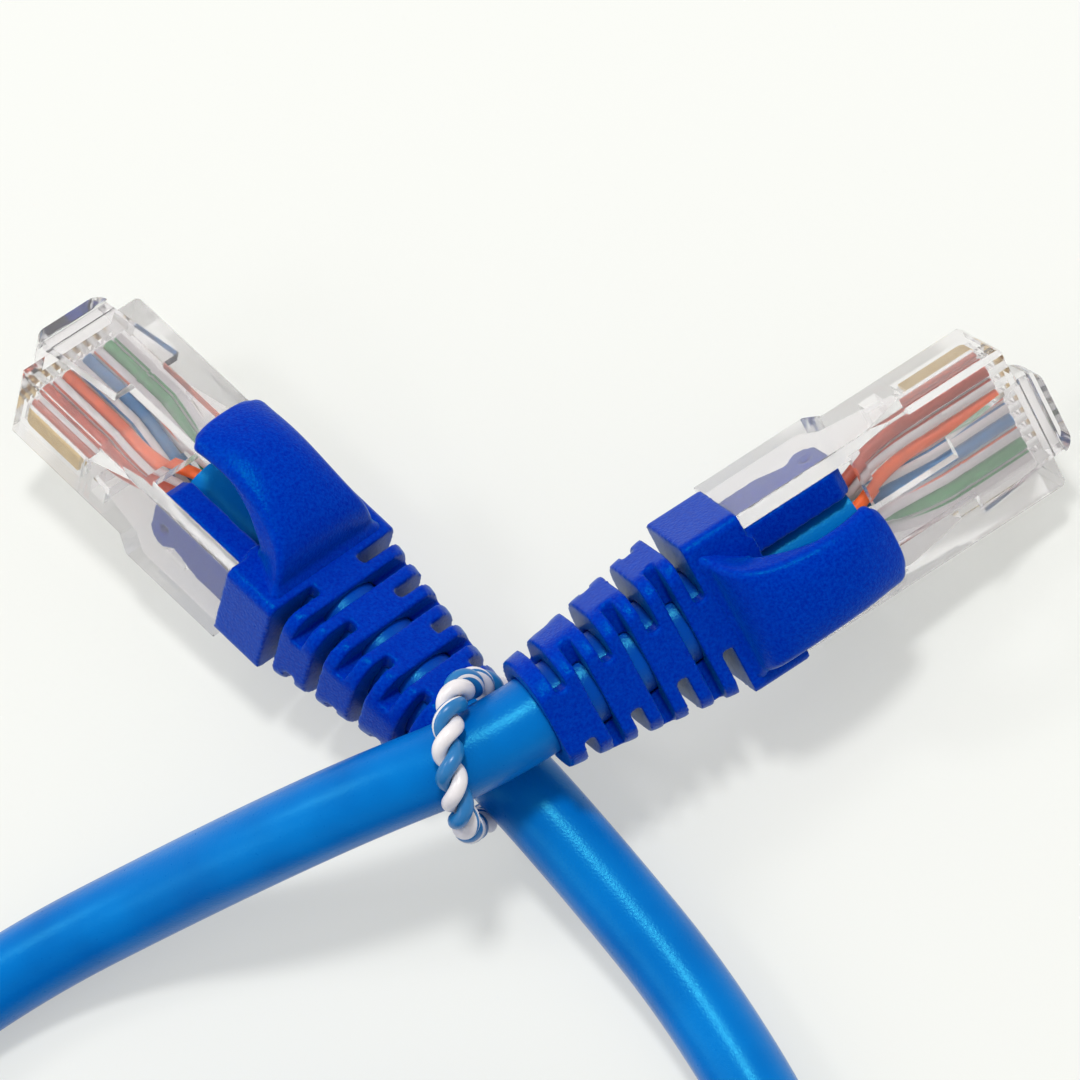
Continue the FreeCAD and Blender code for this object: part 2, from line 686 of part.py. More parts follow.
def settle(pieces, tag):
    """Turn a plug's pieces round the end of its boot and lower them until the lowest one touches z = 0."""
    turn = FreeCAD.Rotation(size(f"{tag}_yaw"), -size(f"{tag}_nose_up"), size(f"{tag}_roll"))
    end = turn.multVec(V(-size(BOOT_END), 0, size("cable_height")))
    lowest = []
    for piece in pieces:
        shape = piece.Shape.copy()
        shape.Placement = FreeCAD.Placement(V(0, 0, 0), turn).multiply(shape.Placement)
        lowest.append(shape.optimalBoundingBox(False).ZMin)
    nose = V(size(f"{tag}_forward") - end.x, size(f"{tag}_side") - end.y, -min(lowest))
    pose = FreeCAD.Placement(nose, turn)
    for piece in pieces:
        piece.Placement = pose.multiply(piece.Placement)
    return pose


def plug(tag):
    """All pieces of one plug in their pose, with that pose."""
    doc.recompute()
    pieces = [housing(tag), latch(tag), contacts(tag), *conductors(tag), jacket_end(tag), boot(tag)]
    pieces.append(hood(tag, size(f"hood_sag_{tag}")))
    doc.recompute()
    return pieces, settle(pieces, tag)


# Courses of the loose pieces: forward, side and height of each corner above its resting height
LEAD_A = [
    (4.81, -23.33, 1.25),
    (10.81, -31.23, 0.0),
    (16.97, -41.92, 0.0),
    (20.27, -51.57, 0.0),
]
LEAD_A_LAST = 10.5
LEAD_B = [
    (-9.79, -18.32, 10.47),
    (-18.09, -20.63, 7.85),
    (-27.19, -22.68, 3.05),
    (-36.69, -25.98, 0.45),
    (-44.83, -30.87, 0.2),
    (-51.43, -37.57, 1.1),
    (-56.03, -45.57, 2.8),
    (-58.23, -54.37, 4.8),
]
LEAD_B_LAST = 9.0
TIE = [
    (-2.49, -13.83, 1.8),
    (-1.65, -12.97, 1.8),
    (-0.03, -10.77, 4.1),
    (-1.69, -10.33, 8.6),
    (-2.89, -11.03, 15.4),
    (-3.49, -13.83, 17.9),
    (-3.49, -17.93, 18.0),
    (-3.19, -20.73, 15.2),
    (-3.29, -20.83, 12.0),
    (-5.09, -18.53, 4.1),
    (-3.22, -16.49, 1.8),
    (-2.49, -15.83, 1.8),
]


def coil():
    """Unseen length wound in two layers: in along the lower one, up, and out along the upper one."""
    thick, step = size("cable_diameter"), size("cable_diameter + coil_space")
    layer = size("coil_layer_turns")
    reverse = layer + 0.25
    centre = V(size("coil_side"), size("coil_back"), 0)
    outer = size("coil_middle") + step * reverse / 2

    def place(turns):
        across = outer - step * min(turns, 2 * reverse - turns)
        climb = min(max((turns - layer) * 2, 0), 1)
        height = thick / 2 + step * climb * climb * (3 - 2 * climb)
        angle = -2 * math.pi * turns
        return centre + V(across * math.cos(angle), across * math.sin(angle), height)

    def heading(turns):
        near, far = place(turns - TINY), place(turns + TINY)
        return (far - near).normalize()

    count = round(4 * 2 * reverse)
    marks = [index / 4 for index in range(count + 1)]
    ways = [heading(mark) for mark in marks]
    ways[0], ways[-1] = V(0, -1, 0), V(0, 1, 0)
    places = [place(mark) for mark in marks]
    start, end = places[0] - ways[0] * thick, places[-1] + ways[-1] * thick
    edges = [Part.LineSegment(start, places[0]).toShape()]
    for index in range(count):
        edges += biarc(places[index], ways[index], places[index + 1], ways[index + 1])
    edges.append(Part.LineSegment(places[-1], end).toShape())
    route = Part.Wire(edges)
    solid = sweep(route, thick / 2, start, ways[0])
    return solid, route, start, end


def self_gap(route, diameter):
    """Least gap of a wound tube to itself, measured between points along its middle line."""
    points = route.discretize(Distance=SAMPLE)
    apart = round(4 * diameter / SAMPLE)
    least = min((points[near] - points[far]).Length
                for near in range(len(points)) for far in range(near + apart, len(points)))
    return least - diameter


def lead(tag, points):
    """One free stretch of cable from its boot to the coil."""
    solid, route, radii = tube(points, size("cable_diameter"))
    full = math.pi * size("cable_diameter") ** 2 / 4 * route.Length
    print(f"lead {tag} length {route.Length:.1f} volume {solid.Volume:.1f} of {full:.1f}")
    print("  radii", [round(radius, 1) for radius in radii])
    print("  course", [tuple(round(value / 1000, 5) for value in point) for point in points])
    return new_shape(f"cable_lead_{tag}", solid)


def tie():
    """Two wires side by side, bent into an open loop around both leads."""
    corners = [V(*corner) for corner in TIE]
    middle = V(0, 0, 0)
    for corner in corners:
        middle += corner * (1 / len(corners))
    made = []
    for colour, side in (("blue", 1), ("white", -1)):
        shift = side * size("(tie_wire + tie_gap) / 2")
        points = []
        for index, corner in enumerate(corners):
            before, after = corners[max(index - 1, 0)], corners[min(index + 1, len(corners) - 1)]
            sideways = (after - before).cross(corner - middle).normalize()
            points.append(corner + sideways * shift)
        solid, _, _ = tube(points, size("tie_wire"))
        made.append(new_shape(f"tie_wire_{colour}", solid))
    return made


plug_a, pose_a = plug("a")
plug_b, pose_b = plug("b")
exit_a = pose_a.multVec(V(-size(BOOT_END), 0, size("cable_height")))
exit_b = pose_b.multVec(V(-size(BOOT_END), 0, size("cable_height")))
out_a, out_b = (pose.Rotation.multVec(V(-1, 0, 0)) for pose in (pose_a, pose_b))
floor = size("cable_diameter / 2")

coil_solid, coil_route, coil_start, coil_end = coil()
full_volume = math.pi * floor ** 2 * coil_route.Length
print(f"coil length {coil_route.Length:.1f} volume {coil_solid.Volume:.1f} of {full_volume:.1f}")
print(f"coil least self gap {self_gap(coil_route, 2 * floor):.3f}")
course_a = [exit_a, exit_a + out_a * size("lead_start")]
course_a += [V(forward, side, up + floor) for forward, side, up in LEAD_A]
course_a += [coil_start + V(0, LEAD_A_LAST, 0), coil_start]
course_b = [exit_b, exit_b + out_b * size("lead_start")]
course_b += [V(forward, side, up + floor) for forward, side, up in LEAD_B]
course_b += [coil_end + V(0, LEAD_B_LAST, 0), coil_end]
loose = [lead("a", course_a), lead("b", course_b), new_shape("cable_coil", coil_solid), *tie()]

parts = plug_a + plug_b + loose
doc.recompute()
for item in doc.Objects:
    if "Invalid" in item.State or "Error" in item.State:
        raise RuntimeError(f"{item.Name} failed: {item.State}")
os.makedirs("parts", exist_ok=True)
for part in parts:
    if part.Shape.isNull() or not part.Shape.isValid():
        raise RuntimeError(f"{part.Label} has no valid shape")
    part.Shape.exportStep(f"parts/{part.Label}.step")
    print(part.Label, round(part.Shape.Volume, 2), len(part.Shape.Solids), len(part.Shape.Faces))
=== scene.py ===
import math

import bmesh
import bpy
from mathutils import Matrix, Quaternion, Vector


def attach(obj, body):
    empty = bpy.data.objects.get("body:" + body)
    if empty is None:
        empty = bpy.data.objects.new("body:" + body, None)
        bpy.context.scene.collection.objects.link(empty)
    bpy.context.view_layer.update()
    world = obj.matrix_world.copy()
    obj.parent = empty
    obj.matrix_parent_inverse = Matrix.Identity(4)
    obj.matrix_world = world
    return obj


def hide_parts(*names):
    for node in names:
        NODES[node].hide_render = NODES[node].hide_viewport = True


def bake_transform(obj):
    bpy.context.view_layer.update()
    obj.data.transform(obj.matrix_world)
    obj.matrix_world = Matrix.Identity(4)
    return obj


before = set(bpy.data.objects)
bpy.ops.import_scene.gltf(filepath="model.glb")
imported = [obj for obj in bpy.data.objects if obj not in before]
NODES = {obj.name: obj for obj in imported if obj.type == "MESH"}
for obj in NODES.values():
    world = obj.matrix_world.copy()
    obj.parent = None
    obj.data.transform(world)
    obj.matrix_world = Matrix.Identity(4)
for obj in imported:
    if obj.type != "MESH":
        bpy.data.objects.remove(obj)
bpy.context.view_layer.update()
MM = 0.001

# The two plugs' places: nose centre and turn (w, x, y, z), as the solids have them.
# A plug's own frame is in mm: x to the front from the nose, z to the latch.
PLACES = {
    "a": (Vector((-0.0348682, 0.0158559, 0.0051802)),
          Quaternion((0.367018, 0.121252, 0.22425, 0.894599))),
    "b": (Vector((0.0324938, 0.010875, 0.0039868)),
          Quaternion((0.886053, 0.347968, 0.189569, 0.240607))),
}


# General helpers


def plug_matrix(tag):
    """Matrix from a plug's own frame in millimetres to the scene in metres."""
    place, turn = PLACES[tag]
    return Matrix.Translation(place) @ turn.to_matrix().to_4x4() @ Matrix.Scale(MM, 4)


def ease(value):
    """0 to 1 with a soft start and end."""
    value = min(max(value, 0.0), 1.0)
    return value * value * (3 - 2 * value)


def link(item):
    """Put an object into the scene."""
    bpy.context.scene.collection.objects.link(item)
    return item


def mesh_object(name, vertices, faces):
    """A new object with a mesh of its own name."""
    mesh = bpy.data.meshes.new(name)
    mesh.from_pydata(vertices, [], faces)
    return link(bpy.data.objects.new(name, mesh))


def ring_edges(ring, around):
    """Vertex numbers at both ends of each edge of a ring, in a mesh of equal rings."""
    start = ring * around
    return [(start + step, start + (step + 1) % around) for step in range(around)]


# Camera, fitted to the corners of both plugs in the photograph

eye = bpy.data.cameras.new("camera")
eye.lens = 198.8
eye.sensor_width = 36
eye.clip_start = 0.02
eye.clip_end = 20
camera = link(bpy.data.objects.new("camera", eye))
right = Vector((0.97742016, 0.0, -0.21130505))
back = Vector((0.20065668, -0.31344414, 0.92816468))
up = back.cross(right)
spot = Vector((0.08474, -0.13017, 0.39639))
camera.matrix_world = Matrix((
    (right.x, up.x, back.x, spot.x),
    (right.y, up.y, back.y, spot.y),
    (right.z, up.z, back.z, spot.z),
    (0, 0, 0, 1),
))
bpy.context.scene.camera = camera


# Materials


def opaque(colour):
    return (*colour, 1.0)


def darker(colour, share):
    return tuple(part * share for part in colour)


class Shader:
    """A material with a principled shader and short calls for the nodes that feed it.

    Scales of noise are per metre, and heights of bumps are in metres.
    """

    def __init__(self, name):
        self.material = bpy.data.materials.new(name)
        self.material.use_nodes = True
        self.tree = self.material.node_tree
        self.base = self.tree.nodes["Principled BSDF"]

    def feed(self, target, value):
        """Give an input another node's output or a fixed value."""
        if isinstance(value, bpy.types.NodeSocket):
            self.tree.links.new(value, target)
        else:
            target.default_value = value

    def node(self, kind, inputs=(), **settings):
        """A new node, with inputs by name or number."""
        made = self.tree.nodes.new(kind)
        for key, value in settings.items():
            setattr(made, key, value)
        for key, value in dict(inputs).items():
            self.feed(made.inputs[key], value)
        return made

    def set(self, **values):
        """Fixed values for the principled shader."""
        for key, value in values.items():
            self.feed(self.base.inputs[key.replace("_", " ")], value)

    def coordinate(self, kind):
        return self.node("ShaderNodeTexCoord").outputs[kind]

    def noise(self, scale, detail, rough=0.5):
        made = self.node("ShaderNodeTexNoise", {
            "Vector": self.coordinate("Object"), "Scale": scale, "Detail": detail,
            "Roughness": rough})
        return made.outputs["Fac"]

    def mottle(self, source, dark, light, low=0.3, high=0.7):
        """Dark where a noise is under low, light where it is over high."""
        made = self.node("ShaderNodeValToRGB", {"Fac": source})
        stops = zip(made.color_ramp.elements, (low, high), (dark, light))
        for element, position, colour in stops:
            element.position = position
            element.color = opaque(colour)
        return made.outputs["Color"]

    def blend(self, share, first, second):
        """A mix of two colours."""
        made = self.node("ShaderNodeMix", data_type="RGBA")
        sockets = {(socket.name, socket.type): socket for socket in made.inputs}
        self.feed(sockets["Factor", "VALUE"], share)
        self.feed(sockets["A", "RGBA"], first)
        self.feed(sockets["B", "RGBA"], second)
        return next(socket for socket in made.outputs if socket.type == "RGBA")

    def combine(self, operation, first, second):
        """Two values made one by a math node."""
        return self.node("ShaderNodeMath", {0: first, 1: second}, operation=operation).outputs[0]

    def colour(self, source):
        self.feed(self.base.inputs["Base Color"], source)

    def rough(self, source, low, high):
        made = self.node("ShaderNodeMapRange", {"Value": source, "To Min": low, "To Max": high})
        self.feed(self.base.inputs["Roughness"], made.outputs["Result"])

    def bump(self, source, height, strength):
        made = self.node("ShaderNodeBump", {
            "Height": source, "Distance": height, "Strength": strength})
        self.feed(self.base.inputs["Normal"], made.outputs["Normal"])

    def passes(self, vector, direction, low, high):
        """0 to 1 as a vector's part along a direction goes from low to high."""
        dot = self.node("ShaderNodeVectorMath", {0: vector, 1: direction},
                        operation="DOT_PRODUCT")
        made = self.node("ShaderNodeMapRange", {
            "Value": dot.outputs["Value"], "From Min": low, "From Max": high})
        return made.outputs["Result"]

    def stripe(self, direction, half_angle, fade):
        """1 where the surface faces a direction, for a stripe along a round wire."""
        edge = math.cos(half_angle)
        return self.passes(self.coordinate("Normal"), direction, edge - fade, edge + fade)

    def behind(self, tag, start, fade):
        """1 where the surface is behind a place along a plug's length, in mm."""
        nose, turn = PLACES[tag]
        rearward = turn @ Vector((-1, 0, 0))
        level = nose.dot(rearward)
        return self.passes(self.coordinate("Object"), rearward,
                           level + (-start - fade) * MM, level + (-start + fade) * MM)


# Where the relief's slots start behind a plug's nose, inside the collar, and how far the
# # jacket's colour fades there into painted shade, in mm
RELIEF_START = -24.5
RELIEF_FADE = 0.5


def boot_material():
    """Speckled blue moulding with a faint bloom."""
    made = Shader("boot_blue")
    made.colour(made.mottle(made.noise(4200, 3, 0.7), (0.0, 0.012, 0.33), (0.0, 0.036, 0.43),
                            low=0.35, high=0.65))
    made.rough(made.noise(2600, 2), 0.24, 0.38)
    made.bump(made.noise(5200, 2, 0.6), 0.00005, 0.8)
    made.set(Specular_IOR_Level=0.14, Specular_Tint=(0.0, 1.0, 1.0, 1.0),
             Sheen_Weight=0.16, Sheen_Roughness=0.4, Sheen_Tint=(0.0, 0.7, 0.6, 1.0))
    return made.material


def jacket_material(name, tag=None):
    """The cable's sheath.

    Inside a plug's boot (tag) it is painted darker behind the relief's start: painted shade, as
    dark as the jacket looks in the relief's slots.
    """
    made = Shader(name)
    variation = made.noise(160, 2)
    colour = made.mottle(variation, (0.0, 0.12, 0.455), (0.0, 0.16, 0.55))
    if tag:
        # Painted shade: a darker copy of the jacket's colour for the relief's slots
        painted_shade = made.mottle(variation, (0.0, 0.04, 0.38), (0.0, 0.06, 0.45))
        colour = made.blend(made.behind(tag, RELIEF_START, RELIEF_FADE), colour, painted_shade)
    made.colour(colour)
    made.rough(made.noise(3000, 2), 0.24, 0.36)
    made.bump(made.noise(5200, 3, 0.6), 0.00004, 0.6)
    made.set(Specular_IOR_Level=0.42, Specular_Tint=(0.1, 0.95, 1.0, 1.0))
    return made.material


def clear_material():
    """The housings' and latches' clear plastic."""
    made = Shader("clear_plastic")
    made.set(Base_Color=(0.965, 0.95, 0.96, 1.0), Transmission_Weight=0.93, IOR=1.24)
    made.rough(made.noise(500, 2), 0.025, 0.06)
    made.bump(made.noise(260, 1), 0.00004, 0.2)
    return made.material


def gold_material():
    made = Shader("gold_contact")
    made.set(Metallic=1.0)
    made.colour(made.mottle(made.noise(900, 2), (0.80, 0.56, 0.20), (0.92, 0.70, 0.32)))
    made.rough(made.noise(4000, 2), 0.16, 0.3)
    return made.material


COLOURS = {
    "brown": (0.62, 0.12, 0.07),
    "orange": (0.98, 0.15, 0.025),
    "blue": (0.02, 0.22, 0.52),
    "green": (0.07, 0.42, 0.12),
}
PALE = (0.93, 0.90, 0.88)

# The pale wires' stripe: the side it faces in the plug's frame, half its width round the
# wire in radians, and how far its edge fades
STRIPE_SIDE = Vector((0, 0.85, 0.55)).normalized()
STRIPE_HALF_ANGLE = 0.22
STRIPE_FADE = 0.01


def wire_material(name, tag):
    """A conductor's insulation, in one colour or pale with a stripe."""
    made = Shader(f"wire_{name}_{tag}")
    variation = made.noise(700, 2)
    if name.startswith("white_"):
        mark = made.stripe(PLACES[tag][1] @ STRIPE_SIDE, STRIPE_HALF_ANGLE, STRIPE_FADE)
        pale = made.mottle(variation, darker(PALE, 0.95), PALE)
        made.colour(made.blend(mark, pale, opaque(COLOURS[name.removeprefix("white_")])))
    else:
        made.colour(made.mottle(variation, darker(COLOURS[name], 0.88), COLOURS[name]))
    made.rough(made.noise(2500, 2), 0.3, 0.45)
    made.bump(made.noise(6000, 2), 0.00001, 0.5)
    return made.material


def strand_material(name, colour):
    """One wire of the tie."""
    made = Shader(name)
    made.colour(made.mottle(made.noise(900, 2), darker(colour, 0.9), colour))
    made.rough(made.noise(4000, 2), 0.25, 0.36)
    made.bump(made.noise(5000, 2), 0.00001, 0.4)
    return made.material


def floor_material(colour, glow, share):
    """Diffuse white, with a share of glow where the camera sees it, also through clear
    plastic or in a reflection."""
    made = Shader("floor")
    made.tree.nodes.remove(made.base)
    rays = made.node("ShaderNodeLightPath").outputs
    indirect = made.combine("MAXIMUM", rays["Is Glossy Ray"], rays["Is Transmission Ray"])
    seen = made.combine("MAXIMUM", rays["Is Camera Ray"], indirect)
    diffuse = made.node("ShaderNodeBsdfDiffuse", {"Color": opaque(colour)})
    emission = made.node("ShaderNodeEmission", {"Color": opaque(glow)})
    mix = made.node("ShaderNodeMixShader", {
        "Fac": made.combine("MULTIPLY", seen, share),
        1: diffuse.outputs[0], 2: emission.outputs[0]})
    made.feed(made.tree.nodes["Material Output"].inputs["Surface"], mix.outputs[0])
    return made.material


def give(item, material):
    """Put one material on every slot of an object."""
    if not item.material_slots:
        item.data.materials.append(material)
    for place in item.material_slots:
        place.material = material
    return item


# Cord: lead a, the coil and lead b as one spline

DIAMETER = 0.0059
ROUTE_A = [
    (-0.00538, -0.0116, 0.00612), (-0.00215, -0.01487, 0.00588), (0.00481, -0.02333, 0.0042),
    (0.01081, -0.03123, 0.00295), (0.01697, -0.04192, 0.00295), (0.02027, -0.05157, 0.00295),
    (0.02079, -0.06197, 0.00295), (0.02079, -0.07247, 0.00295),
]
ROUTE_B = [
    (0.00164, -0.01338, 0.01315), (-0.0021, -0.01595, 0.01393), (-0.00979, -0.01832, 0.01342),
    (-0.01809, -0.02063, 0.0108), (-0.02719, -0.02268, 0.006), (-0.03669, -0.02598, 0.0034),
    (-0.04483, -0.03087, 0.00315), (-0.05143, -0.03757, 0.00405), (-0.05603, -0.04557, 0.00575),
    (-0.05823, -0.05437, 0.00775), (-0.05833, -0.06347, 0.0093), (-0.05833, -0.07247, 0.0093),
]
COIL_CENTRE = Vector((-0.01877, -0.07837, 0.0))
COIL_RADIUS = 0.034
# From one turn to the next, and from the lower layer to the upper one
COIL_STEP = 0.00635
COIL_TURNS = 3.5
COIL_OUTER = COIL_RADIUS + COIL_STEP * COIL_TURNS / 4
COIL_PER_TURN = 24
# Where the cord climbs to the upper layer: start and length, in turns
CLIMB_START = 1.5
CLIMB_LENGTH = 0.5


def coil_points():
    """Turns of the storage coil: in along the lower layer, up, and out along the upper one."""
    made = []
    for index in range(round(COIL_TURNS * COIL_PER_TURN) + 1):
        turns = index / COIL_PER_TURN
        across = COIL_OUTER - COIL_STEP * min(turns, COIL_TURNS - turns)
        height = DIAMETER / 2 + COIL_STEP * ease((turns - CLIMB_START) / CLIMB_LENGTH)
        angle = -2 * math.pi * turns
        offset = Vector((across * math.cos(angle), across * math.sin(angle), height))
        made.append(COIL_CENTRE + offset)
    return made


def nurbs(name, points, radius=0.0, steps=10):
    """A smooth open spline with the points as control points, a tube if it has a radius."""
    data = bpy.data.curves.new(name, "CURVE")
    data.dimensions = "3D"
    data.resolution_u = steps
    data.bevel_depth = radius
    data.bevel_resolution = 7
    data.use_fill_caps = radius > 0
    spline = data.splines.new("NURBS")
    spline.points.add(len(points) - 1)
    for place, point in zip(spline.points, points):
        place.co = (*point, 1.0)
    spline.order_u = 3
    spline.use_endpoint_u = True
    spline.use_smooth = True
    return link(bpy.data.objects.new(name, data))


cord = nurbs("cable", ROUTE_A + coil_points() + ROUTE_B[::-1], DIAMETER / 2)
give(cord, jacket_material("jacket_blue"))
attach(cord, "cable")
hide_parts("cable_lead_a", "cable_lead_b", "cable_coil")


# Tie: two wires twisted round each other along one loop

TIE = [
    (-0.00249, -0.01383, 0.0018), (-0.00165, -0.01297, 0.0018), (-0.00003, -0.01077, 0.0041),
    (-0.00169, -0.01033, 0.0086), (-0.00289, -0.01103, 0.0154), (-0.00349, -0.01383, 0.0179),
    (-0.00349, -0.01793, 0.018), (-0.00319, -0.02073, 0.0152), (-0.00329, -0.02083, 0.012),
    (-0.00509, -0.01853, 0.0041), (-0.00322, -0.01649, 0.0018), (-0.00249, -0.01583, 0.0018),
]
TIE_SPACING = 0.00015
# Radius of each wire, which is also its distance from the loop's middle line
STRAND = 0.00056
# Length of one full twist
LAY = 0.0037
# Strips of faces round a wire, and the one that has the other wire's colour
SEGMENTS = 16
STRIPED = 3
# How far a wire's ends bulge, as a share of its radius
BULGE = 0.35


def lengths_along(line):
    """How far each point of a line is from its start."""
    made = [0.0]
    for before, after in zip(line, line[1:]):
        made.append(made[-1] + (after - before).length)
    return made


def spline_line(points, spacing):
    """Evenly spaced points along the NURBS spline of a route."""
    guide = nurbs("guide", points, steps=24)
    mesh = bpy.data.meshes.new_from_object(guide)
    line = [vertex.co.copy() for vertex in mesh.vertices]
    bpy.data.objects.remove(guide)
    lengths = lengths_along(line)
    count = round(lengths[-1] / spacing)
    made, here = [], 0
    for index in range(count + 1):
        want = lengths[-1] * index / count
        while here < len(line) - 2 and lengths[here + 1] < want:
            here += 1
        # The small number keeps two points in one place from dividing by zero
        share = (want - lengths[here]) / max(lengths[here + 1] - lengths[here], 1e-12)
        made.append(line[here].lerp(line[here + 1], share))
    return made


def steady_frames(line):
    """Tangent and two sideways directions along a line, carried along without twist."""
    made = []
    side = None
    for index in range(len(line)):
        ahead = line[min(index + 1, len(line) - 1)] - line[max(index - 1, 0)]
        ahead.normalize()
        if side is None:
            side = ahead.orthogonal().normalized()
        side = (side - ahead * side.dot(ahead)).normalized()
        made.append((ahead, side, ahead.cross(side)))
    return made


def beside(point, axes, angle, distance):
    """A point next to a line, at an angle round its direction."""
    _, side, other = axes
    return point + (side * math.cos(angle) + other * math.sin(angle)) * distance


def round_tube(name, line, radius):
    """A closed tube mesh along a line, with one strip of faces in the second material."""
    frames = steady_frames(line)
    turns = [2 * math.pi * step / SEGMENTS for step in range(SEGMENTS)]
    vertices = [beside(point, axes, turn, radius)
                for point, axes in zip(line, frames) for turn in turns]
    faces, marks = [], []
    for ring in range(len(line) - 1):
        for step, (first, second) in enumerate(ring_edges(ring, SEGMENTS)):
            faces.append((first, second, second + SEGMENTS, first + SEGMENTS))
            marks.append(int(step == STRIPED))
    for ring, outward in ((0, -1), (len(line) - 1, 1)):
        middle = len(vertices)
        vertices.append(line[ring] + frames[ring][0] * outward * radius * BULGE)
        for first, second in ring_edges(ring, SEGMENTS):
            faces.append((second, first, middle) if outward < 0 else (first, second, middle))
            marks.append(0)
    made = mesh_object(name, vertices, faces)
    for polygon, mark in zip(made.data.polygons, marks):
        polygon.material_index = mark
        polygon.use_smooth = True
    return made


tie_blue = strand_material("tie_blue", (0.012, 0.17, 0.44))
tie_white = strand_material("tie_white", (0.80, 0.76, 0.77))
middle_line = spline_line(TIE, TIE_SPACING)
middle_frames = steady_frames(middle_line)
middle_lengths = lengths_along(middle_line)
for colour, phase, main, mark in (
    ("blue", 0.0, tie_blue, tie_white),
    ("white", math.pi, tie_white, tie_blue),
):
    twisted = [beside(point, axes, phase + 2 * math.pi * length / LAY, STRAND)
               for point, axes, length in zip(middle_line, middle_frames, middle_lengths)]
    strand = round_tube(f"tie_strand_{colour}", twisted, STRAND)
    strand.data.materials.append(main)
    strand.data.materials.append(mark)
    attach(strand, "cable")
    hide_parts(f"tie_wire_{colour}")


# Hoods: a soft tongue that sweeps from the collar over the latch. Numbers are in mm, in the
# plug's frame.

# From root to tip: place, height, half width, crown, thickness, half width underneath
HOOD_ROWS = (
    (-25.6, 6.8, 5.0, 0.0, 3.5, 3.6),
    (-25.55, 7.6, 4.85, 0.0, 3.4, 3.65),
    (-25.35, 8.7, 4.55, 0.05, 3.2, 3.8),
    (-24.9, 9.7, 4.25, 0.15, 2.8, 3.95),
    (-24.1, 10.55, 3.95, 0.3, 2.3, 4.0),
    (-22.9, 11.3, 3.7, 0.5, 1.8, 3.9),
    (-21.4, 12.0, 3.5, 0.65, 1.5, 3.6),
    (-19.6, 12.5, 3.4, 0.75, 1.3, 3.35),
    (-17.6, 12.7, 3.35, 0.8, 1.2, 3.15),
    (-15.6, 12.5, 3.35, 0.75, 1.1, 3.1),
    (-14.1, 12.1, 3.45, 0.6, 1.0, 3.2),
)
# How each hood hangs in the photograph: degrees lower, shift to the side, wider by
HOOD_HANG = {"a": (0.0, 0.0, 0.0), "b": (8.0, -0.3, -0.2)}
# Where a hanging tongue bends: start and length along the plug, and the point it turns about
HANG_START = -25.2
HANG_LENGTH = 4.2
HANG_PIVOT = (-24.2, 9.2)
# Rings along the tongue, and points across its top and its underside
HOOD_RINGS = 60
HOOD_ACROSS = 24
# Rounding of the section's corners, also as a share of the thickness, of the rim at the tip,
# and of the tip's corners seen from above
HOOD_CORNER = 0.5
HOOD_CORNER_SHARE = 0.45
HOOD_RIM = 0.35
HOOD_TIP = 0.6
# The root's foot on the collar: where it ends along the plug, how far it spreads on top, the
# share of that underneath, and its height
FOOT_END = -24
FOOT_SPREAD = 0.4
FOOT_SHARE_BELOW = 0.6
FOOT_HEIGHT = 0.8
COLLAR_TOP = 7.1
# Steps of a rounded corner, from 0 to 90 degrees
QUARTER = [math.pi / 2 * step / 5 for step in range(6)]


def smooth_rows(rows, count):
    """Rows along a smooth curve through the given rows."""
    made = []
    for step in range(count + 1):
        place = step / count * (len(rows) - 1)
        index = min(int(place), len(rows) - 2)
        part = place - index
        around = (rows[max(index - 1, 0)], rows[index], rows[index + 1],
                  rows[min(index + 2, len(rows) - 1)])
        made.append([0.5 * (2 * b + (c - a) * part + (2 * a - 5 * b + 4 * c - d) * part ** 2
                            + (3 * b - a - 3 * c + d) * part ** 3) for a, b, c, d in zip(*around)])
    return made


def hood_section(half, low, thick, crown):
    """Side and depth of the points round a crowned section with rounded corners."""
    corner = min(HOOD_CORNER, thick * HOOD_CORNER_SHARE)
    across = [1 - 2 * k / HOOD_ACROSS for k in range(HOOD_ACROSS + 1)]
    flank = [(half - corner + corner * math.sin(turn), -corner * (1 - math.cos(turn)))
             for turn in QUARTER[1:]]
    flank.append(((half + low) / 2, -thick / 2))
    flank += [(low - corner + corner * math.cos(turn), -thick + corner * (1 - math.sin(turn)))
              for turn in QUARTER[:-1]]
    made = [((half - corner) * share, 0.0) for share in reversed(across)]
    made += flank
    made += [((low - corner) * share, -thick) for share in across]
    made += [(-side, depth) for side, depth in reversed(flank)]
    return [(side, depth - crown * min(abs(side) / half, 1.0) ** 3) for side, depth in made]


def hang(x, y, z, lower, shift):
    """Bend a point of the tongue down round its root, and to the side, half as far at the root."""
    share = ease((x - HANG_START) / HANG_LENGTH)
    angle = math.radians(lower) * share
    root_x, root_z = HANG_PIVOT
    ahead, above = x - root_x, z - root_z
    return Vector((root_x + ahead * math.cos(angle) + above * math.sin(angle),
                   y + shift * (0.5 + 0.5 * share),
                   root_z - ahead * math.sin(angle) + above * math.cos(angle)))


